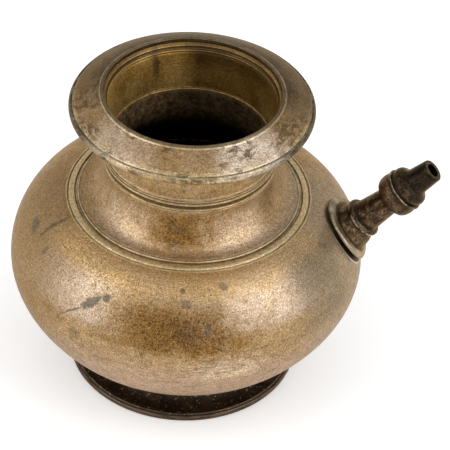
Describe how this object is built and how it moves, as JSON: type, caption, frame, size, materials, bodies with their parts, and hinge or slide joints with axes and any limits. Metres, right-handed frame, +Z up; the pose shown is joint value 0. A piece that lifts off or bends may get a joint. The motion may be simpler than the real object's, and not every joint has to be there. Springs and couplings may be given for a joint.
{
  "type": "spouted water pot",
  "caption": "Full-bellied bronze water pot on a flared ring foot, with a turned neck, a wide conical rim and a narrow pouring spout rising from the shoulder.",
  "frame": {"origin": "on the floor under the middle of the whole object's bounding box, spout included; the pot's own axis stands at x = -0.01498", "axes": "+Z up along the pot's axis, +X towards the spout, +Y to the side"},
  "size_m": [0.1858, 0.1558, 0.1451],
  "materials": {
    "body_bronze": "satin, aged",
    "foot_bronze": "dark, worn at the edge",
    "spout_bronze": "dark, polished by handling",
    "braze": "dull, dirty"
  },
  "bodies": {
    "root": {"foot_ring": "foot_bronze", "foot_braze_ring": "braze", "lower_bowl": "body_bronze", "belly_braze_ring": "body_bronze", "upper_bowl": "body_bronze", "shoulder_braze_ring": "braze", "neck": "body_bronze", "neck_braze_ring": "braze", "rim_collar": "body_bronze", "spout_saddle_braze": "braze", "spout_base": "spout_bronze", "spout_inner_braze": "braze", "socket_braze_ring": "braze", "spout_tube": "spout_bronze", "nozzle_braze_ring": "braze", "spout_nozzle": "spout_bronze"}
  },
  "joints": []
}
